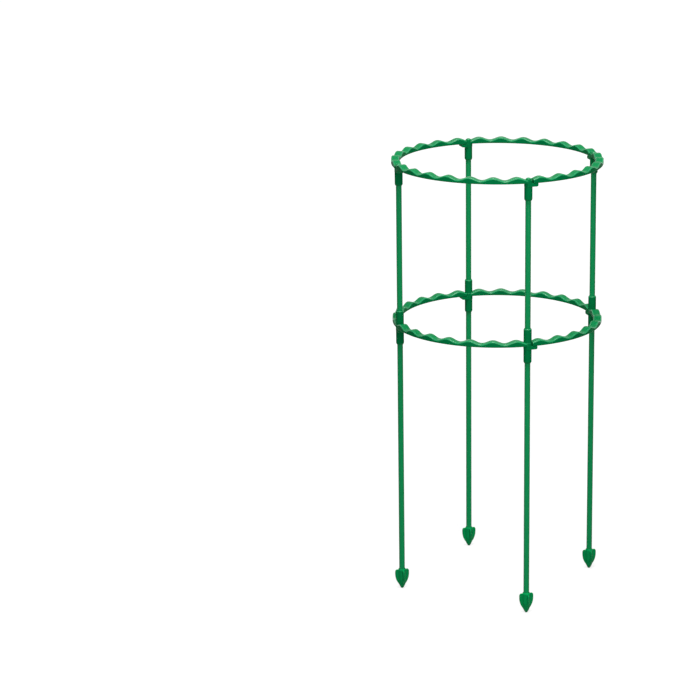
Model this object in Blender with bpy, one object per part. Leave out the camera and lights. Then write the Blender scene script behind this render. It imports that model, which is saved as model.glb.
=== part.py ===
"""Plant support cage: four stakes on a circle, joined by two rings of moulded quarter arcs.

Metres, +Z up. The origin is on the cage's centre line, level with the tips of the ground spikes.
Each arc is one moulding: a band with a wavy top, a sleeve that turns on its own stake, and a shoe
beyond the sleeve that carries the plain end of the next arc round. The plain end is hollowed round
the collar of that sleeve, so an arc swings out of the ring but not into it.
"""

import math

import bmesh
import bpy

MM = 0.001

# Layout
POST_CIRCLE_RADIUS = 140.0 * MM
MIDDLE_BAND_Z = 383.1 * MM
TOP_BAND_Z = 606.4 * MM
POST_ANGLES = {"front": 270, "right": 0, "back": 90, "left": 180}

# Clearance between two pieces that fit together
FIT_GAP = 0.3 * MM

# Stakes: a steel tube in a plastic coat
STAKE_DIAMETER = 8.0 * MM
COAT_WALL = 0.5 * MM
TUBE_WALL = 0.7 * MM

# Sleeves, measured from the band's flat underside
SLEEVE_WALL = 1.2 * MM
MOUTH_WALL = 0.4 * MM
MOUTH_TAPER = 1.8 * MM
RIM_TAPER = 1.0 * MM
MIDDLE_SLEEVE_DROP = 23.9 * MM
MIDDLE_SLEEVE_RISE = 24.1 * MM
TOP_SLEEVE_DROP = 23.5 * MM
WEB_THICKNESS = 2.0 * MM
ROOF_THICKNESS = 1.7 * MM

# Band
BAND_WIDTH = 11.2 * MM
VALLEY_HEIGHT = 4.2 * MM
WAVE_RISE = 4.1 * MM
WAVES_PER_ARC = 7
EDGE_CHAMFER = 0.9 * MM

# A chamfer or a rounding takes at most this share of the wall that it is on
LARGEST_ROUNDING = 0.4

# Collar where the band, the sleeve and the shoe meet: it stands proud of all three
COLLAR_PROUD = 0.1 * MM

# Shoe, with the upright face that stays above its rounded lower corner
SHOE_LENGTH = 6.5 * MM
SHOE_THICKNESS = 4.2 * MM
SHOE_CORNER = 1.9 * MM
SHOE_FACE = 1.4 * MM

# Boss on each top sleeve: a short straight side under a dome
BOSS_DIAMETER = 7.4 * MM
BOSS_SIDE = 0.9 * MM
BOSS_RISE = 2.9 * MM

# Ground spike
SPIKE_TIP_FLAT = 2.4 * MM
SPIKE_TIP_ROUND = 0.8 * MM
SPIKE_CONE_HEIGHT = 5.7 * MM
SPIKE_CONE_DIAMETER = 9.0 * MM
SPIKE_SOCKET_WALL = 1.2 * MM
SPIKE_SOCKET_FLOOR = 13.0 * MM
SPIKE_HEIGHT = 29.4 * MM
SPIKE_MOUTH_TAPER = 2.0 * MM

# Fins of the spike: they start below its top, are widest further down, and bulge towards the cone
FIN_REACH = 4.6 * MM
FIN_THICKNESS = 2.0 * MM
FIN_TOP_DROP = 1.3 * MM
FIN_SHOULDER_HEIGHT = 4.0 * MM
FIN_SHOULDER_WIDTH = 2.1 * MM
FIN_ROOT_INSET = 0.3 * MM
FIN_BULGE = 2.6

# Facets
ROUND_SIDES = 24
TUBE_SIDES = 16
STEPS_PER_WAVE = 8
SHOE_STEPS = 5
HOLLOW_STEPS = 6
CURVE_STEPS = 6
SMOOTH_ANGLE = math.radians(30)

# Values that follow from the ones above
ARC_ANGLE = math.tau / len(POST_ANGLES)
WAVE_ANGLE = ARC_ANGLE / WAVES_PER_ARC
STAKE_RADIUS = STAKE_DIAMETER / 2
BORE_RADIUS = STAKE_RADIUS + FIT_GAP
SLEEVE_RADIUS = BORE_RADIUS + SLEEVE_WALL
HALF_BAND = BAND_WIDTH / 2
COLLAR_RADIUS = max(HALF_BAND, SLEEVE_RADIUS) + COLLAR_PROUD
LEDGE_TOP = -FIT_GAP
LEDGE_BOTTOM = LEDGE_TOP - SHOE_THICKNESS
WEB_BOTTOM = (VALLEY_HEIGHT - WEB_THICKNESS) / 2
WEB_TOP = WEB_BOTTOM + WEB_THICKNESS
ROOF_BOTTOM = VALLEY_HEIGHT - ROOF_THICKNESS
SPIKE_SOCKET_RADIUS = BORE_RADIUS + SPIKE_SOCKET_WALL
FIN_TOP_Z = SPIKE_HEIGHT - FIN_TOP_DROP
FIN_WIDEST_Z = FIN_TOP_Z - FIN_SHOULDER_HEIGHT

# Each stake's lower and upper end, in the cage's own heights
LOWER_STAKE_ENDS = (SPIKE_SOCKET_FLOOR + FIT_GAP, MIDDLE_BAND_Z + WEB_BOTTOM - FIT_GAP)
UPPER_STAKE_ENDS = (MIDDLE_BAND_Z + WEB_TOP + FIT_GAP, TOP_BAND_Z + ROOF_BOTTOM - FIT_GAP)


def clear_scene():
    for obj in list(bpy.data.objects):
        bpy.data.objects.remove(obj, do_unlink=True)


def material(name, colour, roughness, metallic=0.0):
    made = bpy.data.materials.new(name)
    made.use_nodes = True
    shader = made.node_tree.nodes["Principled BSDF"]
    shader.inputs["Base Color"].default_value = (*colour, 1.0)
    shader.inputs["Roughness"].default_value = roughness
    shader.inputs["Metallic"].default_value = metallic
    return made


def clears(radius, sides):
    """Corner radius of a many-sided bore whose flats stay outside a circle."""
    return radius / math.cos(math.pi / sides)


def finished_mesh(bm, name):
    bmesh.ops.remove_doubles(bm, verts=bm.verts, dist=0.001 * MM)
    bmesh.ops.recalc_face_normals(bm, faces=bm.faces)
    mesh = bpy.data.meshes.new(name)
    bm.to_mesh(mesh)
    bm.free()
    return mesh


def turned(name, profile, sides=ROUND_SIDES):
    """Solid turned about Z from (radius, height) points.

    A profile that starts and ends on the axis is left open; any other is closed into a ring.
    """
    bm = bmesh.new()
    points = [bm.verts.new((radius, 0.0, height)) for radius, height in profile]
    edges = [bm.edges.new(pair) for pair in zip(points, points[1:])]
    if profile[0][0] > 0:
        edges.append(bm.edges.new((points[-1], points[0])))
    bmesh.ops.spin(
        bm,
        geom=points + edges,
        cent=(0, 0, 0),
        axis=(0, 0, 1),
        angle=math.tau,
        steps=sides,
        use_merge=True,
    )
    return finished_mesh(bm, name)


def lofted(name, loops):
    """Solid through loops of corners that follow one another, closed by a flat face at each end."""
    bm = bmesh.new()
    rings = [[bm.verts.new(corner) for corner in loop] for loop in loops]
    count = len(rings[0])
    for near, far in zip(rings, rings[1:]):
        for i in range(count):
            j = (i + 1) % count
            bm.faces.new((near[i], near[j], far[j], far[i]))
    bm.faces.new(rings[0])
    bm.faces.new(rings[-1])
    return finished_mesh(bm, name)


def ring_place(angle, outward, height):
    """Place beside the post circle, seen from the post that the arc turns on."""
    reach = POST_CIRCLE_RADIUS + outward
    return (reach * math.cos(angle) - POST_CIRCLE_RADIUS, reach * math.sin(angle), height)


def swept(name, sections):
    """Solid bar round the ring's centre, from angles with their loops of (outward, height) points."""
    loops = []
    for angle, outline in sections:
        loops.append([ring_place(angle, outward, height) for outward, height in outline])
    return lofted(name, loops)


def combined(name, base, joined, cut):
    """The base mesh with some meshes joined on and others cut out."""
    scene = bpy.context.scene.collection.objects
    helpers = []
    for part in [base, *joined, *cut]:
        helper = bpy.data.objects.new(part.name, part)
        helper.hide_render = True
        helper.display_type = "WIRE"
        scene.link(helper)
        helpers.append(helper)
    body = helpers[0]
    for i, helper in enumerate(helpers[1:]):
        step = body.modifiers.new(f"step_{i}", "BOOLEAN")
        step.operation = "UNION" if i < len(joined) else "DIFFERENCE"
        step.solver = "EXACT"
        step.object = helper
    graph = bpy.context.evaluated_depsgraph_get()
    result = bpy.data.meshes.new_from_object(body.evaluated_get(graph))
    for helper in helpers:
        bpy.data.objects.remove(helper, do_unlink=True)
    bm = bmesh.new()
    bm.from_mesh(result)
    bpy.data.meshes.remove(result)
    return finished_mesh(bm, name)


def tube_mesh(name, outer, inner, length, sides):
    """Round tube with its lower end at the origin; the bore's flats clear the inner radius."""
    bore = clears(inner, sides)
    return turned(name, [(outer, 0), (outer, length), (bore, length), (bore, 0)], sides)


def rod_mesh(name, radius, low, high):
    """Plain solid cylinder between two heights, whose flats clear the radius."""
    corner = clears(radius, ROUND_SIDES)
    return turned(name, [(0, low), (corner, low), (corner, high), (0, high)])


def wave_height(angle):
    """Height of the band's top at an angle from a post, where a valley lies."""
    return VALLEY_HEIGHT + WAVE_RISE * (1 - math.cos(math.tau * angle / WAVE_ANGLE)) / 2


def band_mesh(name):
    """The wavy band, from the next post to the one that its sleeve turns on."""
    step = WAVE_ANGLE / STEPS_PER_WAVE
    chamfer = min(EDGE_CHAMFER, VALLEY_HEIGHT * LARGEST_ROUNDING, BAND_WIDTH * LARGEST_ROUNDING)
    sections = []
    for i in range(WAVES_PER_ARC * STEPS_PER_WAVE, -1, -1):
        angle = -step * i
        top = wave_height(angle)
        outline = [
            (-HALF_BAND, 0),
            (HALF_BAND, 0),
            (HALF_BAND, top - chamfer),
            (HALF_BAND - chamfer, top),
            (chamfer - HALF_BAND, top),
            (-HALF_BAND, top - chamfer),
        ]
        sections.append((angle, outline))
    return swept(name, sections)


def hollow_mesh(name):
    """Cutter that hollows the band's plain end round the next post's collar.

    The round face ends on the inside where it lies along the swing, and the end is straight from
    there, so nothing of it comes nearer to the collar as the arc swings out. On the outside it ends
    where it meets the edge of the next arc's own band, swung out square to the ring.
    """
    clear_radius = COLLAR_RADIUS + FIT_GAP
    first = -math.acos((HALF_BAND + FIT_GAP) / clear_radius)
    step = (ARC_ANGLE / 2 - first) / HOLLOW_STEPS
    corner_radius = clear_radius / math.cos(step / 2)
    round_face = []
    for i in range(HOLLOW_STEPS + 1):
        turn = first + step * i
        round_face.append((corner_radius * math.cos(turn), corner_radius * math.sin(turn)))
    outline = [
        (-BAND_WIDTH, -BAND_WIDTH),
        (round_face[0][0], -BAND_WIDTH),
        *round_face,
        (round_face[-1][0], BAND_WIDTH),
        (-BAND_WIDTH, BAND_WIDTH),
    ]
    post_x, post_y, _ = ring_place(-ARC_ANGLE, 0, 0)
    cos_post = math.cos(ARC_ANGLE)
    sin_post = math.sin(ARC_ANGLE)
    loops = []
    for height in (-VALLEY_HEIGHT, 2 * (VALLEY_HEIGHT + WAVE_RISE)):
        loop = []
        for along, inward in outline:
            x = post_x + along * sin_post - inward * cos_post
            y = post_y + along * cos_post + inward * sin_post
            loop.append((x, y, height))
        loops.append(loop)
    return lofted(name, loops)


def shoe_mesh(name):
    """Ledge under the next arc's plain end."""
    length = SLEEVE_RADIUS + SHOE_LENGTH
    corner = min(SHOE_CORNER, SHOE_THICKNESS - SHOE_FACE, SHOE_LENGTH * LARGEST_ROUNDING)
    places = [(0, 0)]
    for i in range(SHOE_STEPS + 1):
        turn = math.pi / 2 * i / SHOE_STEPS
        places.append((length - corner + corner * math.sin(turn), corner * (1 - math.cos(turn))))
    sections = []
    for place, lift in places:
        bottom = LEDGE_BOTTOM + lift
        outline = [
            (-HALF_BAND, bottom),
            (HALF_BAND, bottom),
            (HALF_BAND, LEDGE_TOP),
            (-HALF_BAND, LEDGE_TOP),
        ]
        sections.append((place / POST_CIRCLE_RADIUS, outline))
    return swept(name, sections)


def collar_profile():
    return [
        (SLEEVE_RADIUS, LEDGE_BOTTOM - COLLAR_PROUD),
        (COLLAR_RADIUS, LEDGE_BOTTOM - COLLAR_PROUD),
        (COLLAR_RADIUS, VALLEY_HEIGHT + COLLAR_PROUD),
    ]


def sleeve_foot(drop):
    """Profile of a sleeve's tapered lower end."""
    return [
        (0, -drop),
        (BORE_RADIUS + MOUTH_WALL, -drop),
        (SLEEVE_RADIUS, MOUTH_TAPER - drop),
    ]


def middle_arc_mesh():
    """Band and shoe on a coupling sleeve, open at both ends, with a web between the stakes."""
    barrel = turned(
        "middle_barrel",
        [
            *sleeve_foot(MIDDLE_SLEEVE_DROP),
            *collar_profile(),
            (SLEEVE_RADIUS, VALLEY_HEIGHT + COLLAR_PROUD),
            (SLEEVE_RADIUS, MIDDLE_SLEEVE_RISE - RIM_TAPER),
            (BORE_RADIUS + MOUTH_WALL, MIDDLE_SLEEVE_RISE),
            (0, MIDDLE_SLEEVE_RISE),
        ],
    )
    lower_bore = rod_mesh("lower_bore", BORE_RADIUS, -2 * MIDDLE_SLEEVE_DROP, WEB_BOTTOM)
    upper_bore = rod_mesh("upper_bore", BORE_RADIUS, WEB_TOP, 2 * MIDDLE_SLEEVE_RISE)
    joined = [band_mesh("middle_band"), shoe_mesh("middle_shoe")]
    cut = [lower_bore, upper_bore, hollow_mesh("middle_hollow")]
    return combined("middle_arc", barrel, joined, cut)


def top_arc_mesh():
    """Band and shoe on a short sleeve that is closed above, with a round boss on top."""
    boss_radius = min(BOSS_DIAMETER / 2, COLLAR_RADIUS - COLLAR_PROUD)
    boss_side = min(BOSS_SIDE, BOSS_RISE / 2)
    boss_foot = VALLEY_HEIGHT + COLLAR_PROUD
    dome = []
    for i in range(CURVE_STEPS):
        turn = math.pi / 2 * i / CURVE_STEPS
        height = boss_foot + boss_side + (BOSS_RISE - boss_side) * math.sin(turn)
        dome.append((boss_radius * math.cos(turn), height))
    barrel = turned(
        "top_barrel",
        [
            *sleeve_foot(TOP_SLEEVE_DROP),
            *collar_profile(),
            (boss_radius, boss_foot),
            *dome,
            (0, boss_foot + BOSS_RISE),
        ],
    )
    bore = rod_mesh("top_bore", BORE_RADIUS, -2 * TOP_SLEEVE_DROP, ROOF_BOTTOM)
    joined = [band_mesh("top_band"), shoe_mesh("top_shoe")]
    return combined("top_arc", barrel, joined, [bore, hollow_mesh("top_hollow")])


def fin_outline():
    """Half outline of a pair of fins as (reach, height), from the widest edge down and round."""
    widest = SPIKE_SOCKET_RADIUS + FIN_REACH
    root = SPIKE_CONE_DIAMETER / 2 - FIN_ROOT_INSET
    shoulder = min(FIN_SHOULDER_WIDTH, FIN_REACH)
    points = []
    for i in range(CURVE_STEPS):
        turn = math.pi / 2 * i / CURVE_STEPS
        reach = widest - shoulder + shoulder * math.sin(turn)
        height = FIN_WIDEST_Z + (FIN_TOP_Z - FIN_WIDEST_Z) * math.cos(turn)
        points.append((reach, height))
    for i in range(CURVE_STEPS + 1):
        share = i / CURVE_STEPS
        reach = root + (widest - root) * (1 - share**FIN_BULGE)
        height = FIN_WIDEST_Z + (SPIKE_CONE_HEIGHT - FIN_WIDEST_Z) * share
        points.append((reach, height))
    return points


def fin_pair(name, along_y):
    """Flat plate across the spike, which makes two opposite fins."""
    half = fin_outline()
    outline = half + [(-reach, height) for reach, height in reversed(half)]
    loops = []
    for side in (-FIN_THICKNESS / 2, FIN_THICKNESS / 2):
        if along_y:
            loops.append([(side, reach, height) for reach, height in outline])
        else:
            loops.append([(reach, side, height) for reach, height in outline])
    return lofted(name, loops)


def spike_mesh():
    """Socket that narrows to a blunt cone, with four fins."""
    cone_radius = SPIKE_CONE_DIAMETER / 2
    body = turned(
        "spike_body",
        [
            (0, 0),
            (SPIKE_TIP_FLAT / 2, 0),
            (SPIKE_TIP_FLAT / 2 + SPIKE_TIP_ROUND, SPIKE_TIP_ROUND),
            (cone_radius, SPIKE_CONE_HEIGHT),
            (SPIKE_SOCKET_RADIUS, SPIKE_SOCKET_FLOOR),
            (SPIKE_SOCKET_RADIUS, SPIKE_HEIGHT - SPIKE_MOUTH_TAPER),
            (BORE_RADIUS + MOUTH_WALL, SPIKE_HEIGHT),
            (0, SPIKE_HEIGHT),
        ],
    )
    fins = [fin_pair("fins_across", False), fin_pair("fins_along", True)]
    socket = rod_mesh("spike_socket", BORE_RADIUS, SPIKE_SOCKET_FLOOR, 2 * SPIKE_HEIGHT)
    return combined("spike", body, fins, [socket])


def place(name, mesh, finish, post, height):
    """One piece on a post's axis."""
    if not mesh.materials:
        mesh.materials.append(finish)
    mesh.shade_smooth()
    mesh.set_sharp_from_angle(angle=SMOOTH_ANGLE)
    piece = bpy.data.objects.new(name, mesh)
    bpy.context.scene.collection.objects.link(piece)
    piece.parent = post
    piece.location = (0, 0, height)


def build():
    clear_scene()
    arc_plastic = material("arc_plastic", (0.001, 0.26, 0.068), 0.34)
    spike_plastic = material("spike_plastic", (0.001, 0.33, 0.088), 0.42)
    coat_plastic = material("coat_plastic", (0.002, 0.37, 0.105), 0.25)
    steel = material("galvanised_steel", (0.52, 0.53, 0.54), 0.38, metallic=1.0)

    coat_bore = STAKE_RADIUS - COAT_WALL
    tube_radius = coat_bore - FIT_GAP
    stakes = {"lower": LOWER_STAKE_ENDS, "upper": UPPER_STAKE_ENDS}
    pieces = {
        "spike": (spike_mesh(), spike_plastic, 0),
        "middle_arc": (middle_arc_mesh(), arc_plastic, MIDDLE_BAND_Z),
        "top_arc": (top_arc_mesh(), arc_plastic, TOP_BAND_Z),
    }
    for level, (low, high) in stakes.items():
        coat = tube_mesh(f"{level}_coat", STAKE_RADIUS, coat_bore, high - low, ROUND_SIDES)
        tube = tube_mesh(
            f"{level}_tube", tube_radius, tube_radius - TUBE_WALL, high - low, TUBE_SIDES
        )
        pieces[f"{level}_coat"] = (coat, coat_plastic, low)
        pieces[f"{level}_tube"] = (tube, steel, low)

    for side, degrees in POST_ANGLES.items():
        angle = math.radians(degrees)
        post = bpy.data.objects.new(f"{side}_post", None)
        bpy.context.scene.collection.objects.link(post)
        post.location = (
            POST_CIRCLE_RADIUS * math.cos(angle),
            POST_CIRCLE_RADIUS * math.sin(angle),
            0,
        )
        post.rotation_euler = (0, 0, angle)
        for kind, (mesh, finish, height) in pieces.items():
            place(f"{side}_{kind}", mesh, finish, post, height)


build()
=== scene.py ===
# %% [markdown]
# # Plant support column
#
# A light cage for one potted plant. Four green stakes stand on a circle, each on a finned ground
# spike. Two rings of moulded quarter arcs hold the stakes apart. Each arc turns on its own stake,
# so one quarter of the cage can be opened to reach the plant.
#
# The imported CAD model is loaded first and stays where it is. Every piece below is made in the same
# frame, in metres, and rides on the CAD body that moves it.

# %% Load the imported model
import math

import bmesh
import bpy
from mathutils import Matrix, Vector


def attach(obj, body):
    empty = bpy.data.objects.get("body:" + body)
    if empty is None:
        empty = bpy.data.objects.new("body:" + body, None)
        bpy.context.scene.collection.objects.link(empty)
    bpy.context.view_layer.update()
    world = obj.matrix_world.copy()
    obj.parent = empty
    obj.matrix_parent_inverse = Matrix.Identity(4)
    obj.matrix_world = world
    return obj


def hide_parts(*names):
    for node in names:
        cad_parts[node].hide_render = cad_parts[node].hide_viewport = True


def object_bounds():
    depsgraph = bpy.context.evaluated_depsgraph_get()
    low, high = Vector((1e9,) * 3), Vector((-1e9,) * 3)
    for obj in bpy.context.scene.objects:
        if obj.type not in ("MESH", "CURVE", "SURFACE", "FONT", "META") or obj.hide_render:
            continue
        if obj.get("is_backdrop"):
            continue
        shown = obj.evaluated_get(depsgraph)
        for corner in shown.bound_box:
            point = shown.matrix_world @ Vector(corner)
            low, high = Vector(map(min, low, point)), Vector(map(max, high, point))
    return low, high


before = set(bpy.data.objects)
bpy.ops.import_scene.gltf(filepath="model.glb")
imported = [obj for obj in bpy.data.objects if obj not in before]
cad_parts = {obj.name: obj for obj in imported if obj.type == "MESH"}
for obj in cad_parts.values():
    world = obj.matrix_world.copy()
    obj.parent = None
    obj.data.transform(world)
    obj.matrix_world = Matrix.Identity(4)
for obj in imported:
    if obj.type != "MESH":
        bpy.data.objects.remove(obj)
cad_low, cad_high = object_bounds()
cad_size = [round((high - low) * 1000, 1) for low, high in zip(cad_low, cad_high)]
print("CAD box in mm:", cad_size, "with", len(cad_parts), "nodes")

# %% [markdown]
# ## Sizes
#
# The stakes are 8 mm thick and stand on a circle of 280 mm. A ring's heights are measured from the
# flat underside of its band. The moulded pieces are drawn once, with their own stake at angle 0,
# and then turned to the front, right, back and left.

# %% Sizes of the cage
MM = 0.001
CIRCLE_RADIUS = 140 * MM
STAKE_RADIUS = 4 * MM
FIT_GAP = 0.3 * MM
BORE_RADIUS = STAKE_RADIUS + FIT_GAP
MIDDLE_RING_Z = 383.1 * MM
TOP_RING_Z = 606.4 * MM
SIDES = {"front": 270, "right": 0, "back": 90, "left": 180}
QUARTER = math.tau / len(SIDES)
print("Stakes at angles", SIDES, "and rings at", MIDDLE_RING_Z, "and", TOP_RING_Z)

# %% [markdown]
# ## Camera
#
# The cage was photographed from a little above its top ring with a long lens, which keeps the
# stakes nearly upright in the picture. The camera was found by matching the stakes' tips and the
# ends of the sleeves. The cage stands right of the middle of the picture without leaning to the
# left, which a camera turned aside would show, so the lens is shifted a little instead.

# %% Camera at the photograph's place
CAMERA_PLACE = (-1.02040, -3.32127, 1.32231)
CAMERA_TILT = math.radians(74.1999)
CAMERA_TURN = math.radians(-16.6875)
LENS_IN_MM = 132.775
PICTURE_WIDTH = 700
SHIFT_IN_PIXELS = -130

camera_data = bpy.data.cameras.new("camera")
camera_data.lens = LENS_IN_MM
camera_data.sensor_width = 36.0
camera_data.shift_x = SHIFT_IN_PIXELS / PICTURE_WIDTH
camera_data.clip_end = 100.0
camera = bpy.data.objects.new("camera", camera_data)
camera.location = CAMERA_PLACE
camera.rotation_euler = (CAMERA_TILT, 0.0, CAMERA_TURN)
bpy.context.scene.collection.objects.link(camera)
bpy.context.scene.camera = camera
print("Camera", tuple(camera.location), "with a lens of", camera_data.lens, "mm")

# %% [markdown]
# ## Light
#
# Green plastic needs two things: a broad light from above, which makes the waves of the bands
# readable, and a tall softbox at the right of the camera, which draws the long stripe on each
# stake. One lamp could do both only by being huge, and the stripe would lose its edges. The world
# is white to the camera and to reflections, and dimmer as a source of light.

# %% A helper that adds and wires one node
def add_node(tree, kind, inputs=None, **settings):
    """A new node whose settings are set first, and whose inputs are then linked or set."""
    made = tree.nodes.new(kind)
    for name, value in settings.items():
        setattr(made, name, value)
    for socket, value in (inputs or {}).items():
        if isinstance(value, bpy.types.NodeSocket):
            tree.links.new(value, made.inputs[socket])
        else:
            made.inputs[socket].default_value = value
    return made


def sees_background(tree):
    """1 for camera, glossy and transmission rays, and 0 for the rays that gather light."""
    rays = add_node(tree, "ShaderNodeLightPath").outputs
    shiny = add_node(
        tree,
        "ShaderNodeMath",
        {0: rays["Is Glossy Ray"], 1: rays["Is Transmission Ray"]},
        operation="MAXIMUM",
    )
    both = {0: rays["Is Camera Ray"], 1: shiny.outputs[0]}
    return add_node(tree, "ShaderNodeMath", both, operation="MAXIMUM").outputs[0]


# %% World: white to look at, softer as a light
WORLD_LIGHT = 0.06
world = bpy.data.worlds.new("studio")
bpy.context.scene.world = world
world.use_nodes = True
sky = world.node_tree
sky.nodes.clear()
strength = add_node(
    sky,
    "ShaderNodeMapRange",
    {"Value": sees_background(sky), "To Min": WORLD_LIGHT, "To Max": 1.0},
)
backing = add_node(sky, "ShaderNodeBackground", {"Strength": strength.outputs["Result"]})
backing.inputs["Color"].default_value = (1.0, 1.0, 1.0, 1.0)
add_node(sky, "ShaderNodeOutputWorld", {"Surface": backing.outputs[0]})
print("World light", WORLD_LIGHT)


# %% Softboxes
def softbox(name, width, height, place, target, power):
    """A rectangular studio light that the camera itself doesn't see."""
    lamp = bpy.data.lights.new(name, "AREA")
    lamp.shape = "RECTANGLE"
    lamp.size = width
    lamp.size_y = height
    lamp.energy = power
    stand = bpy.data.objects.new(name, lamp)
    stand.location = place
    aim = Vector(target) - Vector(place)
    stand.rotation_euler = aim.to_track_quat("-Z", "Y").to_euler()
    stand.visible_camera = False
    bpy.context.scene.collection.objects.link(stand)
    print(name, "of", width, "by", height, "m at", place)


softbox(
    "overhead_softbox",
    width=1.05,
    height=1.05,
    place=(-0.25, -0.75, 4.6),
    target=(0.0, 0.0, 0.4),
    power=175.0,
)
softbox(
    "stripe_softbox",
    width=0.22,
    height=1.8,
    place=(-0.22, -1.44, 0.95),
    target=(0.0, 0.0, 0.35),
    power=9.0,
)

# %% [markdown]
# ## Floor
#
# The cage stands on a plain white floor. To the camera the floor adds a glow of its own that lifts
# it to white, and what is left of its own shading keeps the soft shadow of the spikes and rings.
# The lamps only reach the floor near the cage, so the glow is a little stronger further out.

# %% Floor
FLOOR_REACH = 30.0
BOUNCED_SHADE = (0.24, 0.24, 0.24, 1.0)
SHOWN_SHADE = (0.23, 0.23, 0.23, 1.0)
NEAR_GLOW = 0.86
FAR_GLOW = 1.0
GLOW_RISES_FROM = 0.3
GLOW_RISES_TO = 2.5

floor_mesh = bpy.data.meshes.new("floor")
signs = [(-1, -1), (1, -1), (1, 1), (-1, 1)]
corners = [(x * FLOOR_REACH, y * FLOOR_REACH, 0.0) for x, y in signs]
floor_mesh.from_pydata(corners, [], [(0, 1, 2, 3)])
floor = bpy.data.objects.new("floor", floor_mesh)
bpy.context.scene.collection.objects.link(floor)

floor_paint = bpy.data.materials.new("white_floor")
floor_paint.use_nodes = True
paint = floor_paint.node_tree
paint.nodes.clear()
bounce = add_node(paint, "ShaderNodeBsdfDiffuse", {"Color": BOUNCED_SHADE})
shaded = add_node(paint, "ShaderNodeBsdfDiffuse", {"Color": SHOWN_SHADE})
spot = add_node(paint, "ShaderNodeTexCoord").outputs["Object"]
distance = add_node(paint, "ShaderNodeVectorMath", {0: spot}, operation="LENGTH")
reach = add_node(
    paint,
    "ShaderNodeMapRange",
    {
        "Value": distance.outputs["Value"],
        "From Min": GLOW_RISES_FROM,
        "From Max": GLOW_RISES_TO,
        "To Min": NEAR_GLOW,
        "To Max": FAR_GLOW,
    },
)
glow = add_node(paint, "ShaderNodeEmission", {"Strength": reach.outputs["Result"]})
lifted = add_node(paint, "ShaderNodeAddShader", {0: shaded.outputs[0], 1: glow.outputs[0]})
chosen = add_node(
    paint,
    "ShaderNodeMixShader",
    {"Fac": sees_background(paint), 1: bounce.outputs[0], 2: lifted.outputs[0]},
)
add_node(paint, "ShaderNodeOutputMaterial", {"Surface": chosen.outputs[0]})
floor_mesh.materials.append(floor_paint)
floor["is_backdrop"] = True
print("Floor of", 2 * FLOOR_REACH, "m")

# %% [markdown]
# ## Plastics
#
# Three green plastics are on the cage. The arcs and spikes are injection moulded: satin, with a
# very fine orange-peel grain and a slight drift of the pigment. The stakes' coat is extruded: it
# is glossier, and the die leaves faint lines along it. All of it could be painted as images, but
# noise on Object coordinates needs no unwrapping and stays sharp at any distance.
#
# The arcs have three finishes of one plastic. A mould is polished best at its rounded corners, so
# the upper edges shine more. Their green is also painted a little paler there: a painted highlight
# which, with their real shine, draws a bright line along the bands. The upright walls are matt. With
# the
# gloss of the top they would turn grey wherever they are seen nearly edge-on, because everything
# round the cage is white. One material with a gloss that varies would do too, but exporters lose
# such a level.

# %% A green plastic from noise
CLOUD_SCALE = 45.0
NOISE_RANGE = (0.3, 0.7)
GLOSS_DRIFT = 0.12
RELIEF_STRENGTH = 0.5
PLASTIC_IOR = 1.45


def plastic(name, green, drift, shine, roughness, grain, stretch, depth):
    """Plastic with pigment drift, uneven gloss and a fine relief.

    drift is the share by which the green varies, shine the level of its reflections, grain the
    noise scale of the relief, stretch the scale of the pattern along each axis, and depth the
    height of the relief.
    """
    made = bpy.data.materials.new(name)
    made.use_nodes = True
    tree = made.node_tree
    shader = tree.nodes["Principled BSDF"]
    place = add_node(tree, "ShaderNodeTexCoord").outputs["Object"]
    lined = add_node(tree, "ShaderNodeMapping", {"Vector": place, "Scale": stretch})
    cloud = add_node(
        tree,
        "ShaderNodeTexNoise",
        {"Vector": place, "Scale": CLOUD_SCALE, "Detail": 3.0, "Roughness": 0.55},
    )
    relief = add_node(
        tree,
        "ShaderNodeTexNoise",
        {"Vector": lined.outputs[0], "Scale": grain, "Detail": 2.0, "Roughness": 0.5},
    )
    pigment = add_node(tree, "ShaderNodeValToRGB", {"Fac": cloud.outputs["Fac"]})
    ramp_ends = zip(pigment.color_ramp.elements, NOISE_RANGE, (1 - drift, 1 + drift))
    for end, position, share in ramp_ends:
        end.position = position
        end.color = (*[part * share for part in green], 1.0)
    gloss = add_node(
        tree,
        "ShaderNodeMapRange",
        {
            "Value": relief.outputs["Fac"],
            "From Min": NOISE_RANGE[0],
            "From Max": NOISE_RANGE[1],
            "To Min": roughness * (1 - GLOSS_DRIFT),
            "To Max": roughness * (1 + GLOSS_DRIFT),
        },
    )
    bump = add_node(
        tree,
        "ShaderNodeBump",
        {"Height": relief.outputs["Fac"], "Strength": RELIEF_STRENGTH, "Distance": depth},
    )
    tree.links.new(pigment.outputs["Color"], shader.inputs["Base Color"])
    tree.links.new(gloss.outputs["Result"], shader.inputs["Roughness"])
    tree.links.new(bump.outputs["Normal"], shader.inputs["Normal"])
    shader.inputs["IOR"].default_value = PLASTIC_IOR
    shader.inputs["Specular IOR Level"].default_value = shine
    print("Material", name)
    return made


# %% The greens
EVEN = (1.0, 1.0, 1.0)
ALONG_Z = (1.0, 1.0, 0.02)
ARC_GREEN = (0.001, 0.250, 0.072)
# A paler green for the arcs' rounded upper edges: a painted highlight.
ARC_EDGE_PAINTED_HIGHLIGHT_GREEN = (0.006, 0.320, 0.108)
SPIKE_GREEN = (0.001, 0.365, 0.102)
COAT_GREEN = (0.002, 0.390, 0.117)
ARC_GRAIN = {"drift": 0.06, "grain": 900.0, "stretch": EVEN, "depth": 0.03 * MM}

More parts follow.
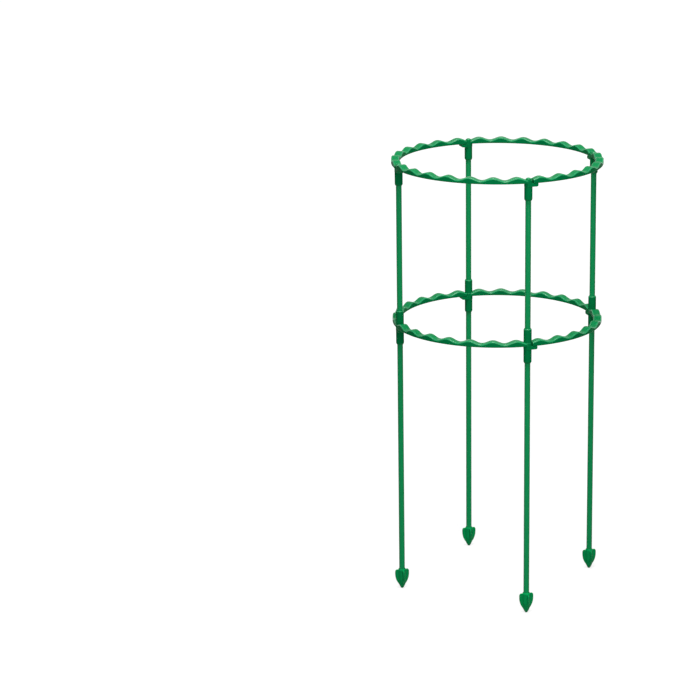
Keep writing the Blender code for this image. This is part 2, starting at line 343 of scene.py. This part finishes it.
arc_plastic = plastic("arc_plastic", ARC_GREEN, shine=0.07, roughness=0.27, **ARC_GRAIN)
arc_wall_plastic = plastic("arc_wall_plastic", ARC_GREEN, shine=0.01, roughness=0.4, **ARC_GRAIN)
# The edge plastic shines more, and its paler green is a painted highlight along the bands.
arc_edge_shine_and_painted_highlight = plastic(
    "arc_edge_shine_and_painted_highlight", ARC_EDGE_PAINTED_HIGHLIGHT_GREEN, shine=0.38, roughness=0.32, **ARC_GRAIN
)
spike_plastic = plastic(
    "spike_plastic",
    SPIKE_GREEN,
    shine=0.07,
    roughness=0.42,
    drift=0.07,
    grain=800.0,
    stretch=EVEN,
    depth=0.04 * MM,
)
coat_plastic = plastic(
    "coat_plastic",
    COAT_GREEN,
    shine=0.11,
    roughness=0.23,
    drift=0.04,
    grain=1500.0,
    stretch=ALONG_Z,
    depth=0.02 * MM,
)

# %% [markdown]
# ## Steel
#
# Inside each green coat is a thin galvanised tube. It only shows when a stake is pulled out, but it
# is part of the cage. Zinc freezes in flat crystals, so Voronoi cells are the closest pattern.

# %% Galvanised steel
CRYSTAL_SCALE = 420.0
HAZE_SCALE = 160.0
DARK_ZINC = (0.46, 0.47, 0.48, 1.0)
LIGHT_ZINC = (0.60, 0.61, 0.62, 1.0)
ZINC_ROUGHNESS = (0.28, 0.52)


def galvanised(name):
    """Grey metal with faint crystals of zinc and a cloudy gloss."""
    made = bpy.data.materials.new(name)
    made.use_nodes = True
    tree = made.node_tree
    shader = tree.nodes["Principled BSDF"]
    place = add_node(tree, "ShaderNodeTexCoord").outputs["Object"]
    crystals = add_node(tree, "ShaderNodeTexVoronoi", {"Vector": place, "Scale": CRYSTAL_SCALE})
    cloud = add_node(
        tree, "ShaderNodeTexNoise", {"Vector": place, "Scale": HAZE_SCALE, "Detail": 4.0}
    )
    zinc = add_node(tree, "ShaderNodeValToRGB", {"Fac": crystals.outputs["Color"]})
    zinc.color_ramp.elements[0].color = DARK_ZINC
    zinc.color_ramp.elements[1].color = LIGHT_ZINC
    haze = add_node(
        tree,
        "ShaderNodeMapRange",
        {
            "Value": cloud.outputs["Fac"],
            "To Min": ZINC_ROUGHNESS[0],
            "To Max": ZINC_ROUGHNESS[1],
        },
    )
    tree.links.new(zinc.outputs["Color"], shader.inputs["Base Color"])
    tree.links.new(haze.outputs["Result"], shader.inputs["Roughness"])
    shader.inputs["Metallic"].default_value = 1.0
    print("Material", name)
    return made


galvanised_steel = galvanised("galvanised_steel")

# %% [markdown]
# The CAD tubes have the right shape already, so they stay and only take the better material.

# %% Tubes keep their CAD shape
tubes = [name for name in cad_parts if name.endswith("_tube")]
for name in tubes:
    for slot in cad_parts[name].material_slots:
        slot.material = galvanised_steel
print(len(tubes), "steel tubes carried over")

# %% [markdown]
# ## Tools for the shapes
#
# Four small tools make the moulded pieces. One turns a profile round an axis, as on a lathe. One
# rounds the corners of a profile first, because no moulded edge is razor sharp. One runs a
# Geometry Nodes tree and keeps its result as a plain mesh. One joins solids and cuts others away,
# so that a piece ends up as one skin, as it comes out of the mould.

# %% Rounded profiles, turned solids
EASE_STEPS = 4
LEAST_STRAIGHT = 0.55
SAME_POINT = 0.001 * MM
ROUND_STEPS = 64


def eased(points, reach):
    """The line of (x, y) points with each inner corner rounded over at most the given reach.

    A rounding starts at least LEAST_STRAIGHT of the way from one corner to the next.
    """
    line = [points[0]]
    for before, corner, after in zip(points, points[1:], points[2:]):
        a, b, c = Vector(before), Vector(corner), Vector(after)
        into = a + (b - a) * max(LEAST_STRAIGHT, 1 - reach / (b - a).length)
        out = c + (b - c) * max(LEAST_STRAIGHT, 1 - reach / (c - b).length)
        for i in range(EASE_STEPS + 1):
            share = i / EASE_STEPS
            line.append(into.lerp(b, share).lerp(b.lerp(out, share), share)[:])
    line.append(points[-1])
    return line


def closed_mesh(bm, name):
    """Merges doubles, points every face outwards and hands back a mesh."""
    bmesh.ops.remove_doubles(bm, verts=bm.verts, dist=SAME_POINT)
    bmesh.ops.recalc_face_normals(bm, faces=bm.faces)
    mesh = bpy.data.meshes.new(name)
    bm.to_mesh(mesh)
    bm.free()
    return mesh


def turned(name, profile):
    """A solid turned round Z from (radius, height) points that start and end on the axis."""
    bm = bmesh.new()
    points = [bm.verts.new((radius, 0.0, height)) for radius, height in profile]
    edges = [bm.edges.new(pair) for pair in zip(points, points[1:])]
    bmesh.ops.spin(
        bm,
        geom=points + edges,
        cent=(0, 0, 0),
        axis=(0, 0, 1),
        angle=math.tau,
        steps=ROUND_STEPS,
        use_merge=True,
    )
    return closed_mesh(bm, name)


print("A turned piece has", ROUND_STEPS, "steps round its axis")


# %% Plain meshes from modifiers and node trees
def plain_mesh(obj):
    """The object's evaluated mesh, free of its modifiers."""
    graph = bpy.context.evaluated_depsgraph_get()
    return bpy.data.meshes.new_from_object(obj.evaluated_get(graph))


def helper_object(mesh):
    """An object that is only used while a shape is made."""
    helper = bpy.data.objects.new(mesh.name, mesh)
    bpy.context.scene.collection.objects.link(helper)
    return helper


def grown(name, tree, values, base=None):
    """Runs a Geometry Nodes tree with the given inputs and keeps the result as a plain mesh."""
    carrier = helper_object(base or bpy.data.meshes.new(name))
    modifier = carrier.modifiers.new(name, "NODES")
    modifier.node_group = tree
    for item in tree.interface.items_tree:
        if item.in_out == "INPUT" and item.name in values:
            modifier[item.identifier] = values[item.name]
    mesh = plain_mesh(carrier)
    mesh.name = name
    carrier.modifiers.remove(modifier)
    bpy.data.objects.remove(carrier, do_unlink=True)
    return mesh


def one_skin(name, base, joined, cut):
    """The base solid with some solids joined on and others cut away."""
    helpers = [helper_object(mesh) for mesh in (base, *joined, *cut)]
    for i, helper in enumerate(helpers[1:]):
        step = helpers[0].modifiers.new(f"step_{i}", "BOOLEAN")
        step.operation = "UNION" if i < len(joined) else "DIFFERENCE"
        step.solver = "EXACT"
        step.object = helper
    mesh = plain_mesh(helpers[0])
    mesh.name = name
    for helper in helpers:
        bpy.data.objects.remove(helper, do_unlink=True)
    print(name, "is one skin of", len(mesh.polygons), "faces")
    return mesh


# %% A finished piece
SHARP_EDGE = math.radians(38)
UPRIGHT = 0.2
LEVEL = 0.9


def finish_or_painted_highlight_of(face):
    """0 for a level face or an underside, 1 for an upright wall and 2 for a rounded upper edge,
    where the arcs carry a painted highlight.

    The upward part of the normal tells them apart: it is at most UPRIGHT on a wall, and from there
    up to LEVEL on a rounded edge.
    """
    if abs(face.normal.z) <= UPRIGHT:
        return 1
    return 2 if UPRIGHT < face.normal.z < LEVEL else 0


def finished(name, mesh, materials, turn, height, body):
    """Places a mesh, shades it, sets it on its body and hides the CAD node of the same name.

    One material covers the whole piece. Three of them go on its level faces, its upright walls and
    its rounded upper edges, in that order; on the arcs the last one carries a painted highlight.
    """
    placed = mesh.copy()
    placed.transform(Matrix.Translation((0, 0, height)) @ Matrix.Rotation(turn, 4, "Z"))
    placed.materials.clear()
    for material in materials:
        placed.materials.append(material)
    for face in placed.polygons:
        face.material_index = finish_or_painted_highlight_of(face) if len(materials) > 1 else 0
    placed.shade_smooth()
    placed.set_sharp_from_angle(angle=SHARP_EDGE)
    helper = helper_object(placed)
    shading = helper.modifiers.new("flat_faces_stay_flat", "WEIGHTED_NORMAL")
    shading.keep_sharp = True
    final = plain_mesh(helper)
    bpy.data.objects.remove(helper, do_unlink=True)
    final.name = name
    piece = bpy.data.objects.new(f"{name}_piece", final)
    bpy.context.scene.collection.objects.link(piece)
    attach(piece, body)
    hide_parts(name)


print("Edges over", round(math.degrees(SHARP_EDGE)), "degrees stay crisp")

# %% [markdown]
# ## Wavy band
#
# Each arc carries a band whose top rises and falls seven times over a quarter of the ring. The
# valleys sit at the stakes. It could be drawn point by point, but it follows one rule, so Geometry
# Nodes suit it: a rounded rectangle is swept along an arc, and its upper half is then lifted by a
# cosine of the angle round the ring. The two upper corners are rounded far more than the lower ones.
# Their shoulders catch the light, and the paler green painted on them as a painted highlight adds to
# the bright line along the band.

# %% Band sizes
BAND_WIDTH = 11.2 * MM
BAND_HEIGHT = 4.2 * MM
SHOULDER_ROUNDING = 2.0 * MM
FOOT_ROUNDING = 0.7 * MM
ROUNDING_STEPS = 8
WAVE_RISE = 4.1 * MM
WAVES = 7
STEPS_PER_WAVE = 24
print("Each wave is", round(CIRCLE_RADIUS * QUARTER / WAVES / MM, 1), "mm long")


# %% Band tree
def new_tree(name, inputs):
    """An empty Geometry Nodes tree, its group input's outputs and its group output."""
    tree = bpy.data.node_groups.new(name, "GeometryNodeTree")
    for label, kind in inputs.items():
        tree.interface.new_socket(name=label, in_out="INPUT", socket_type=kind)
    tree.interface.new_socket(name="Geometry", in_out="OUTPUT", socket_type="NodeSocketGeometry")
    return tree, add_node(tree, "NodeGroupInput").outputs, add_node(tree, "NodeGroupOutput")


def maths(tree, operation, first, second=0.0):
    """The output of one Math node."""
    return add_node(tree, "ShaderNodeMath", {0: first, 1: second}, operation=operation).outputs[0]


def end_tree(tree, geometry, material, output):
    """Ends a tree: its geometry is made real, takes its material and goes to the group output."""
    real = add_node(tree, "GeometryNodeRealizeInstances", {0: geometry})
    coloured = add_node(
        tree, "GeometryNodeSetMaterial", {"Geometry": real.outputs[0], "Material": material}
    )
    tree.links.new(coloured.outputs[0], output.inputs[0])


NUMBER = "NodeSocketFloat"
COUNT = "NodeSocketInt"
MATERIAL = "NodeSocketMaterial"
band_inputs = {
    "Ring Radius": NUMBER,
    "Start Angle": NUMBER,
    "Sweep Angle": NUMBER,
    "Steps": COUNT,
    "Width": NUMBER,
    "Height": NUMBER,
    "Shoulder Rounding": NUMBER,
    "Foot Rounding": NUMBER,
    "Rounding Steps": COUNT,
    "Wave Rise": NUMBER,
    "Waves Per Turn": NUMBER,
    "Material": MATERIAL,
}
band_tree, given, output = new_tree("wavy_band", band_inputs)

# The path: part of the ring, with its normal kept level so that the section doesn't roll
path = add_node(
    band_tree,
    "GeometryNodeCurveArc",
    {
        "Resolution": given["Steps"],
        "Radius": given["Ring Radius"],
        "Start Angle": given["Start Angle"],
        "Sweep Angle": given["Sweep Angle"],
    },
    mode="RADIUS",
)
level = add_node(
    band_tree, "GeometryNodeSetCurveNormal", {"Curve": path.outputs["Curve"]}, mode="Z_UP"
)

# The section: a rectangle whose upper corners, at negative Y here, are rounded more than the others
section = add_node(
    band_tree,
    "GeometryNodeCurvePrimitiveQuadrilateral",
    {"Width": given["Width"], "Height": given["Height"]},
    mode="RECTANGLE",
)
corner = add_node(
    band_tree,
    "ShaderNodeSeparateXYZ",
    {0: add_node(band_tree, "GeometryNodeInputPosition").outputs[0]},
).outputs
rounding = add_node(
    band_tree,
    "GeometryNodeSwitch",
    {
        "Switch": maths(band_tree, "LESS_THAN", corner["Y"], 0.0),
        "False": given["Foot Rounding"],
        "True": given["Shoulder Rounding"],
    },
    input_type="FLOAT",
)
softened = add_node(
    band_tree,
    "GeometryNodeFilletCurve",
    {
        "Curve": section.outputs[0],
        "Count": given["Rounding Steps"],
        "Radius": rounding.outputs[0],
        "Limit Radius": True,
    },
    mode="POLY",
)
swept = add_node(
    band_tree,
    "GeometryNodeCurveToMesh",
    {"Curve": level.outputs[0], "Profile Curve": softened.outputs[0], "Fill Caps": True},
)

# The wave: points above the foot's rounding go up by rise x (1 - cos(waves x angle)) / 2
spot = add_node(
    band_tree,
    "ShaderNodeSeparateXYZ",
    {0: add_node(band_tree, "GeometryNodeInputPosition").outputs[0]},
).outputs
angle = maths(band_tree, "ARCTAN2", spot["Y"], spot["X"])
swing = maths(band_tree, "COSINE", maths(band_tree, "MULTIPLY", angle, given["Waves Per Turn"]))
share = maths(band_tree, "MULTIPLY", maths(band_tree, "SUBTRACT", 1.0, swing), 0.5)
lift = maths(band_tree, "MULTIPLY", share, given["Wave Rise"])
roundings_apart = maths(band_tree, "SUBTRACT", given["Foot Rounding"], given["Shoulder Rounding"])
between = maths(band_tree, "MULTIPLY", roundings_apart, 0.5)
raised = add_node(
    band_tree,
    "GeometryNodeSetPosition",
    {
        "Geometry": swept.outputs[0],
        "Selection": maths(band_tree, "GREATER_THAN", spot["Z"], between),
        "Offset": add_node(band_tree, "ShaderNodeCombineXYZ", {"Z": lift}).outputs[0],
    },
)
half_height = maths(band_tree, "MULTIPLY", given["Height"], 0.5)
on_underside = add_node(
    band_tree,
    "GeometryNodeTransform",
    {
        "Geometry": raised.outputs[0],
        "Translation": add_node(band_tree, "ShaderNodeCombineXYZ", {"Z": half_height}).outputs[0],
    },
)
end_tree(band_tree, on_underside.outputs[0], given["Material"], output)

band = grown(
    "band",
    band_tree,
    {
        "Ring Radius": CIRCLE_RADIUS,
        "Start Angle": -QUARTER,
        "Sweep Angle": QUARTER,
        "Steps": WAVES * STEPS_PER_WAVE,
        "Width": BAND_WIDTH,
        "Height": BAND_HEIGHT,
        "Shoulder Rounding": SHOULDER_ROUNDING,
        "Foot Rounding": FOOT_ROUNDING,
        "Rounding Steps": ROUNDING_STEPS,
        "Wave Rise": WAVE_RISE,
        "Waves Per Turn": float(WAVES * len(SIDES)),
        "Material": arc_plastic,
    },
)
print("Band of", len(band.vertices), "points")

# %% [markdown]
# ## Hollow of the plain end
#
# The plain end of a band is hollowed round the collar of the next stake's sleeve. The round face
# stops on the inside where it lies along the arc's swing, so the arc can swing out of the ring
# and not into it. On the outside it stops short of the next band's own edge, so that band can
# swing out square to the ring. The cutter for it is lofted through a few outlines. Where it leaves
# the band's top and underside the outline widens along a small quarter circle, which eases those
# edges.

# %% Hollow cutter
COLLAR_RADIUS = 5.7 * MM
HOLLOW_RADIUS = COLLAR_RADIUS + FIT_GAP
EDGE_ROUNDING = 0.35 * MM


def lofted(loops):
    """Solid through loops of corners that follow one another, closed by a face at each end."""
    bm = bmesh.new()
    rings = [[bm.verts.new(corner) for corner in loop] for loop in loops]
    for near, far in zip(rings, rings[1:]):
        for i in range(len(near)):
            j = (i + 1) % len(near)
            bm.faces.new((near[i], near[j], far[j], far[i]))
    bm.faces.new(rings[0])
    bm.faces.new(rings[-1])
    bmesh.ops.recalc_face_normals(bm, faces=bm.faces)
    return bm


def band_top(x, y):
    """Height of the band's top at a place beside the ring."""
    return BAND_HEIGHT + WAVE_RISE * (1 - math.cos(WAVES * len(SIDES) * math.atan2(y, x))) / 2


def hollow_outline(wider_by):
    """(x, y) corners of the hollow round the next stake, seen from above."""
    steps = 20
    reach = HOLLOW_RADIUS + wider_by
    first = -math.acos((BAND_WIDTH / 2 + FIT_GAP) / HOLLOW_RADIUS)
    face = []
    for i in range(steps + 1):
        turn = first + (QUARTER / 2 - first) * i / steps
        face.append((reach * math.cos(turn), reach * math.sin(turn)))
    far = BAND_WIDTH
    outline = [(-far, -far), (face[0][0], -far), *face, (face[-1][0], far), (-far, far)]
    along = Vector((math.sin(QUARTER), math.cos(QUARTER)))
    inward = Vector((-math.cos(QUARTER), math.sin(QUARTER)))
    return [(along * a + inward * (b - CIRCLE_RADIUS))[:] for a, b in outline]


def hollow_cutter():
    """The cutter, from below the band to above it."""
    loops = [[(x, y, -BAND_WIDTH) for x, y in hollow_outline(EDGE_ROUNDING)]]
    steps = 4
    for i in range(steps + 1):
        turn = math.pi / 2 * i / steps
        wider_by = EDGE_ROUNDING * (1 - math.sin(turn))
        rise = EDGE_ROUNDING * (1 - math.cos(turn))
        loops.append([(x, y, rise) for x, y in hollow_outline(wider_by)])
    for i in range(steps, -1, -1):
        turn = math.pi / 2 * i / steps
        wider_by = EDGE_ROUNDING * (1 - math.sin(turn))
        drop = EDGE_ROUNDING * (1 - math.cos(turn))
        loops.append([(x, y, band_top(x, y) - drop) for x, y in hollow_outline(wider_by)])
    loops.append([(x, y, BAND_WIDTH) for x, y in hollow_outline(EDGE_ROUNDING)])
    return closed_mesh(lofted(loops), "hollow")


hollow = hollow_cutter()
print("Hollow cutter of", len(hollow.polygons), "faces")


# %% Rounded edges
def bevelled(bm, degrees, reach, steps):
    """Rounds every edge that folds by more than the given angle."""
    folds = [edge for edge in bm.edges if edge.calc_face_angle(0.0) > math.radians(degrees)]
    bmesh.ops.bevel(
        bm,
        geom=folds,
        offset=reach,
        segments=steps,
        profile=0.5,
        affect="EDGES",
        clamp_overlap=True,
    )


# %% [markdown]
# ## Shoe
#
# Beyond its sleeve each arc has a short shoe: a ledge that the next arc's plain end rests on. The
# lower corner of its end is rounded. It is lofted along the ring through a few sections, and every
# edge is then rounded.

# %% Shoe
SLEEVE_RADIUS = 5.5 * MM
SHOE_END = SLEEVE_RADIUS + 6.5 * MM
LEDGE_TOP = -FIT_GAP
LEDGE_BOTTOM = LEDGE_TOP - 4.2 * MM
SHOE_CORNER = 1.9 * MM


def shoe_sections():
    """The shoe's section from the stake's axis to the rounded end, as loops of corners."""
    steps = 10
    stops = [(0.0, 0.0)]
    for i in range(steps + 1):
        turn = math.pi / 2 * i / steps
        reach = SHOE_END - SHOE_CORNER + SHOE_CORNER * math.sin(turn)
        stops.append((reach, SHOE_CORNER * (1 - math.cos(turn))))
    inside = CIRCLE_RADIUS - BAND_WIDTH / 2
    outside = CIRCLE_RADIUS + BAND_WIDTH / 2
    for distance, lifted_by in stops:
        turn = distance / CIRCLE_RADIUS
        bottom = LEDGE_BOTTOM + lifted_by
        outline = [(inside, bottom), (outside, bottom), (outside, LEDGE_TOP), (inside, LEDGE_TOP)]
        yield [(reach * math.cos(turn), reach * math.sin(turn), z) for reach, z in outline]


shoe_bm = lofted(list(shoe_sections()))
bevelled(shoe_bm, degrees=50, reach=EDGE_ROUNDING, steps=3)
shoe = closed_mesh(shoe_bm, "shoe")
print("Shoe of", len(shoe.polygons), "faces, reaching", round(SHOE_END / MM, 1), "mm past the stake")

# %% [markdown]
# ## Sleeves
#
# The middle arc's sleeve is a long coupler: the lower stake ends in it from below and the upper
# stake from above, with a web between them. The top arc's sleeve is closed, with a small dome on
# it. Both have a tapered foot. A low collar, a hair wider than the sleeve, blends the band, the
# sleeve and the shoe. A profile turned round the stake's axis makes either in one go.

# %% Sleeve profiles
FOOT_TAPER = 1.8 * MM
RIM_TAPER = 1.0 * MM
MOUTH_RADIUS = BORE_RADIUS + 0.4 * MM
COLLAR_LIP = 0.1 * MM
COLLAR_FOOT = 0.5 * MM
RIM_ROUNDING = 0.3 * MM
WEB_THICKNESS = 2.0 * MM
WEB = ((BAND_HEIGHT - WEB_THICKNESS) / 2, (BAND_HEIGHT + WEB_THICKNESS) / 2)


def foot(drop):
    """Profile of a sleeve, from its tapered lower end to the top of its collar."""
    return [
        (0.0, -drop),
        (MOUTH_RADIUS, -drop),
        (SLEEVE_RADIUS, FOOT_TAPER - drop),
        (SLEEVE_RADIUS, LEDGE_BOTTOM - COLLAR_FOOT),
        (COLLAR_RADIUS, LEDGE_BOTTOM - COLLAR_LIP),
        (COLLAR_RADIUS, BAND_HEIGHT + COLLAR_LIP),
    ]


MIDDLE_DROP = 23.9 * MM
MIDDLE_RISE = 24.1 * MM
middle_profile = [
    *foot(MIDDLE_DROP),
    (SLEEVE_RADIUS, BAND_HEIGHT + COLLAR_FOOT),
    (SLEEVE_RADIUS, MIDDLE_RISE - RIM_TAPER),
    (MOUTH_RADIUS, MIDDLE_RISE),
    (0.0, MIDDLE_RISE),
]
TOP_DROP = 23.5 * MM
DOME_RADIUS = 3.7 * MM
DOME_WALL = 0.9 * MM
DOME_RISE = 2.0 * MM
DOME_STEPS = 12
dome_foot = BAND_HEIGHT + COLLAR_LIP
dome = [(DOME_RADIUS, dome_foot)]
for i in range(DOME_STEPS + 1):
    turn = math.pi / 2 * i / DOME_STEPS
    rise = DOME_WALL + DOME_RISE * math.sin(turn)
    dome.append((DOME_RADIUS * math.cos(turn), dome_foot + rise))
dome[-1] = (0.0, dome[-1][1])
top_profile = eased(foot(TOP_DROP), RIM_ROUNDING) + dome
middle_barrel = turned("middle_barrel", eased(middle_profile, RIM_ROUNDING))
top_barrel = turned("top_barrel", top_profile)
print("Barrels of", len(middle_barrel.polygons), "and", len(top_barrel.polygons), "faces")

# %% [markdown]
# The bores are cut last, because the band and the shoe both run into the sleeve. A bored piece is
# what a real mould gives: the pins that leave the holes are pulled after the plastic has set.

# %% Arcs as one skin each
def rod(name, low, high):
    """A plain round cutter of the bore's size."""
    return turned(name, [(0.0, low), (BORE_RADIUS, low), (BORE_RADIUS, high), (0.0, high)])


def arc_skin(name, barrel, bores):
    """Barrel, band and shoe in one skin, with its bores, in the ring's own frame."""
    at_stake = Matrix.Translation((CIRCLE_RADIUS, 0, 0))
    cutters = [rod(f"{name}_bore_{i}", *ends) for i, ends in enumerate(bores)]
    for mesh in (barrel, *cutters):
        mesh.transform(at_stake)
    return one_skin(name, barrel, [band.copy(), shoe.copy()], [*cutters, hollow.copy()])


OUTSIDE = 60 * MM
TOP_BORE_END = BAND_HEIGHT - 1.7 * MM
# The third arc plastic has a paler painted highlight green for the rounded upper edges.
ARC_FINISHES_AND_PAINTED_HIGHLIGHT = (arc_plastic, arc_wall_plastic, arc_edge_shine_and_painted_highlight)

middle_arc = arc_skin("middle_arc", middle_barrel, [(-OUTSIDE, WEB[0]), (WEB[1], OUTSIDE)])
top_arc = arc_skin("top_arc", top_barrel, [(-OUTSIDE, TOP_BORE_END)])

rings = (("middle", middle_arc, MIDDLE_RING_Z), ("top", top_arc, TOP_RING_Z))
for side, degrees in SIDES.items():
    turn = math.radians(degrees)
    for ring, mesh, height in rings:
        name = f"{side}_{ring}_arc"
        finished(name, mesh, ARC_FINISHES_AND_PAINTED_HIGHLIGHT, turn, height, f"{side}_{ring}")
print("Eight arcs in place")

# %% [markdown]
# ## Stake coats
#
# A stake is a steel tube drawn through a die that lays a thin green coat on it. A circle swept
# along a straight line gives that, and it is the same for every stake apart from its ends, so it
# is a tree as well. A second circle, turned inside out, makes the bore, so the coat is a real tube.

# %% Coat tree
coat_inputs = {
    "Bottom": "NodeSocketVector",
    "Top": "NodeSocketVector",
    "Radius": NUMBER,
    "Wall": NUMBER,
    "Sides": COUNT,
    "Rows": COUNT,
    "Material": MATERIAL,
}
coat_tree, given, output = new_tree("stake_coat", coat_inputs)
line = add_node(
    coat_tree,
    "GeometryNodeCurvePrimitiveLine",
    {"Start": given["Bottom"], "End": given["Top"]},
    mode="POINTS",
)
rows = add_node(
    coat_tree,
    "GeometryNodeResampleCurve",
    {"Curve": line.outputs[0], "Count": given["Rows"]},
)
outer = add_node(
    coat_tree,
    "GeometryNodeCurvePrimitiveCircle",
    {"Resolution": given["Sides"], "Radius": given["Radius"]},
    mode="RADIUS",
)
inner_radius = maths(coat_tree, "SUBTRACT", given["Radius"], given["Wall"])
inner = add_node(
    coat_tree,
    "GeometryNodeCurvePrimitiveCircle",
    {"Resolution": given["Sides"], "Radius": inner_radius},
    mode="RADIUS",
)
skins = []
for ring in (outer, inner):
    wall = add_node(
        coat_tree,
        "GeometryNodeCurveToMesh",
        {"Curve": rows.outputs[0], "Profile Curve": ring.outputs["Curve"], "Fill Caps": False},
    )
    skins.append(wall.outputs[0])
both = add_node(coat_tree, "GeometryNodeJoinGeometry")
for skin in skins:
    coat_tree.links.new(skin, both.inputs[0])
end_tree(coat_tree, both.outputs[0], given["Material"], output)
print("Coat tree of", len(coat_tree.nodes), "nodes")


# %% Eight coats
def bridged(mesh):
    """Closes the two rings of open edges at each end of a coat, so that it is one skin."""
    bm = bmesh.new()
    bm.from_mesh(mesh)
    bottom = min(vert.co.z for vert in bm.verts)
    for at_bottom in (True, False):
        rim = [
            edge
            for edge in bm.edges
            if edge.is_boundary and (abs(edge.verts[0].co.z - bottom) < MM) == at_bottom
        ]
        bmesh.ops.bridge_loops(bm, edges=rim)
    return closed_mesh(bm, mesh.name)


COAT_WALL = 0.5 * MM
COAT_ROWS = 12
SOCKET_FLOOR = 13.0 * MM
stake_ends = {
    "lower": (SOCKET_FLOOR + FIT_GAP, MIDDLE_RING_Z + WEB[0] - FIT_GAP),
    "upper": (MIDDLE_RING_Z + WEB[1] + FIT_GAP, TOP_RING_Z + TOP_BORE_END - FIT_GAP),
}
for side, degrees in SIDES.items():
    turn = math.radians(degrees)
    for level_name, (low, high) in stake_ends.items():
        name = f"{side}_{level_name}_coat"
        values = {
            "Bottom": (CIRCLE_RADIUS, 0.0, low),
            "Top": (CIRCLE_RADIUS, 0.0, high),
            "Radius": STAKE_RADIUS,
            "Wall": COAT_WALL,
            "Sides": ROUND_STEPS,
            "Rows": COAT_ROWS,
            "Material": coat_plastic,
        }
        coat = bridged(grown(name, coat_tree, values))
        finished(name, coat, (coat_plastic,), turn, 0.0, "root")
print("Eight coats in place")

# %% [markdown]
# ## Ground spikes
#
# Each stake stands in a spike: a socket that narrows to a blunt cone, with four fins that keep it
# from turning in the soil. The body is turned. One fin is drawn and rounded, and a tree repeats it
# round the axis, because a change to the fin or to their number then needs one edit.

# %% Spike body and one fin
SOCKET_RADIUS = BORE_RADIUS + 1.2 * MM
TIP_RADIUS = 1.2 * MM
CONE_TOP = 5.7 * MM
SPIKE_TOP = 29.4 * MM
SPIKE_ROUNDING = 0.6 * MM
spike_profile = [
    (0.0, 0.0),
    (TIP_RADIUS, 0.0),
    (2.0 * MM, 0.8 * MM),
    (4.5 * MM, CONE_TOP),
    (SOCKET_RADIUS, SOCKET_FLOOR),
    (SOCKET_RADIUS, 27.4 * MM),
    (MOUTH_RADIUS, SPIKE_TOP),
    (0.0, SPIKE_TOP),
]
spike_body = turned("spike_body", eased(spike_profile, SPIKE_ROUNDING))

FIN_COUNT = 4
FIN_THICKNESS = 2.0 * MM
FIN_REACH = SOCKET_RADIUS + 4.6 * MM
FIN_TOP = 28.1 * MM
FIN_WIDEST = 24.1 * MM
FIN_SHOULDER = 2.1 * MM
FIN_ROOT = 4.2 * MM
FIN_INSIDE = 3.0 * MM
FIN_BULGE = 2.6
FIN_ROUNDING = 0.55 * MM


def fin_outline():
    """(reach, height) points from the top round the shoulder and down the bulging edge."""
    steps = 14
    for i in range(steps):
        turn = math.pi / 2 * i / steps
        yield (
            FIN_REACH - FIN_SHOULDER + FIN_SHOULDER * math.sin(turn),
            FIN_WIDEST + (FIN_TOP - FIN_WIDEST) * math.cos(turn),
        )
    for i in range(steps + 1):
        share_down = i / steps
        yield (
            FIN_ROOT + (FIN_REACH - FIN_ROOT) * (1 - share_down**FIN_BULGE),
            FIN_WIDEST + (CONE_TOP - FIN_WIDEST) * share_down,
        )


def fin_mesh():
    """One fin that points along X, with its edges rounded."""
    outline = [(FIN_INSIDE, FIN_TOP), *fin_outline(), (FIN_INSIDE, CONE_TOP)]
    bm = bmesh.new()
    face = bm.faces.new([bm.verts.new((reach, -FIN_THICKNESS / 2, z)) for reach, z in outline])
    grown_up = bmesh.ops.extrude_face_region(bm, geom=[face])["geom"]
    moved = [item for item in grown_up if isinstance(item, bmesh.types.BMVert)]
    bmesh.ops.translate(bm, verts=moved, vec=(0, FIN_THICKNESS, 0))
    bmesh.ops.recalc_face_normals(bm, faces=bm.faces)
    bevelled(bm, degrees=60, reach=FIN_ROUNDING, steps=4)
    return closed_mesh(bm, "fin")


fin = fin_mesh()
print("Spike body of", len(spike_body.polygons), "faces and a fin of", len(fin.polygons))

# %% [markdown]
# The tree takes the fin as its own geometry, puts a copy on each of a few points that all lie on
# the axis, and turns each copy by its share of a full turn.

# %% Fins repeated round the axis
fin_inputs = {"Fin": "NodeSocketGeometry", "Fins": COUNT, "Material": MATERIAL}
fin_tree, given, output = new_tree("fins_round_axis", fin_inputs)
points = add_node(
    fin_tree,
    "GeometryNodeMeshLine",
    {"Count": given["Fins"], "Offset": (0.0, 0.0, 0.0)},
    mode="OFFSET",
)
index = add_node(fin_tree, "GeometryNodeInputIndex").outputs[0]
step_angle = maths(fin_tree, "DIVIDE", math.tau, given["Fins"])
turned_by = maths(fin_tree, "MULTIPLY", index, step_angle)
facing = add_node(fin_tree, "ShaderNodeCombineXYZ", {"Z": turned_by})
copies = add_node(
    fin_tree,
    "GeometryNodeInstanceOnPoints",
    {
        "Points": points.outputs[0],
        "Instance": given["Fin"],
        "Rotation": facing.outputs[0],
    },
)
end_tree(fin_tree, copies.outputs[0], given["Material"], output)
fins = grown("fins", fin_tree, {"Fins": FIN_COUNT, "Material": spike_plastic}, base=fin)
print("Fins of", len(fins.polygons), "faces")

# %% Four spikes
socket = rod("socket", SOCKET_FLOOR, OUTSIDE)
spike = one_skin("spike", spike_body, [fins], [socket])
spike.transform(Matrix.Translation((CIRCLE_RADIUS, 0, 0)))
for side, degrees in SIDES.items():
    turn = math.radians(degrees)
    finished(f"{side}_spike", spike, (spike_plastic,), turn, 0.0, "root")
print("Four spikes in place")

# %% [markdown]
# ## Final look
#
# The picture is shown with the Standard view transform, so a colour in a material is the colour on
# the screen. The CAD box and the dressed box are printed side by side. The dressed model has to stay
# the size of the CAD.

# %% Sizes and finish
bpy.context.scene.view_settings.view_transform = "Standard"
shown_low, shown_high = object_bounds()
shown_size = [round((high - low) * 1000, 1) for low, high in zip(shown_low, shown_high)]
print("CAD box", cad_size, "and dressed box", shown_size)
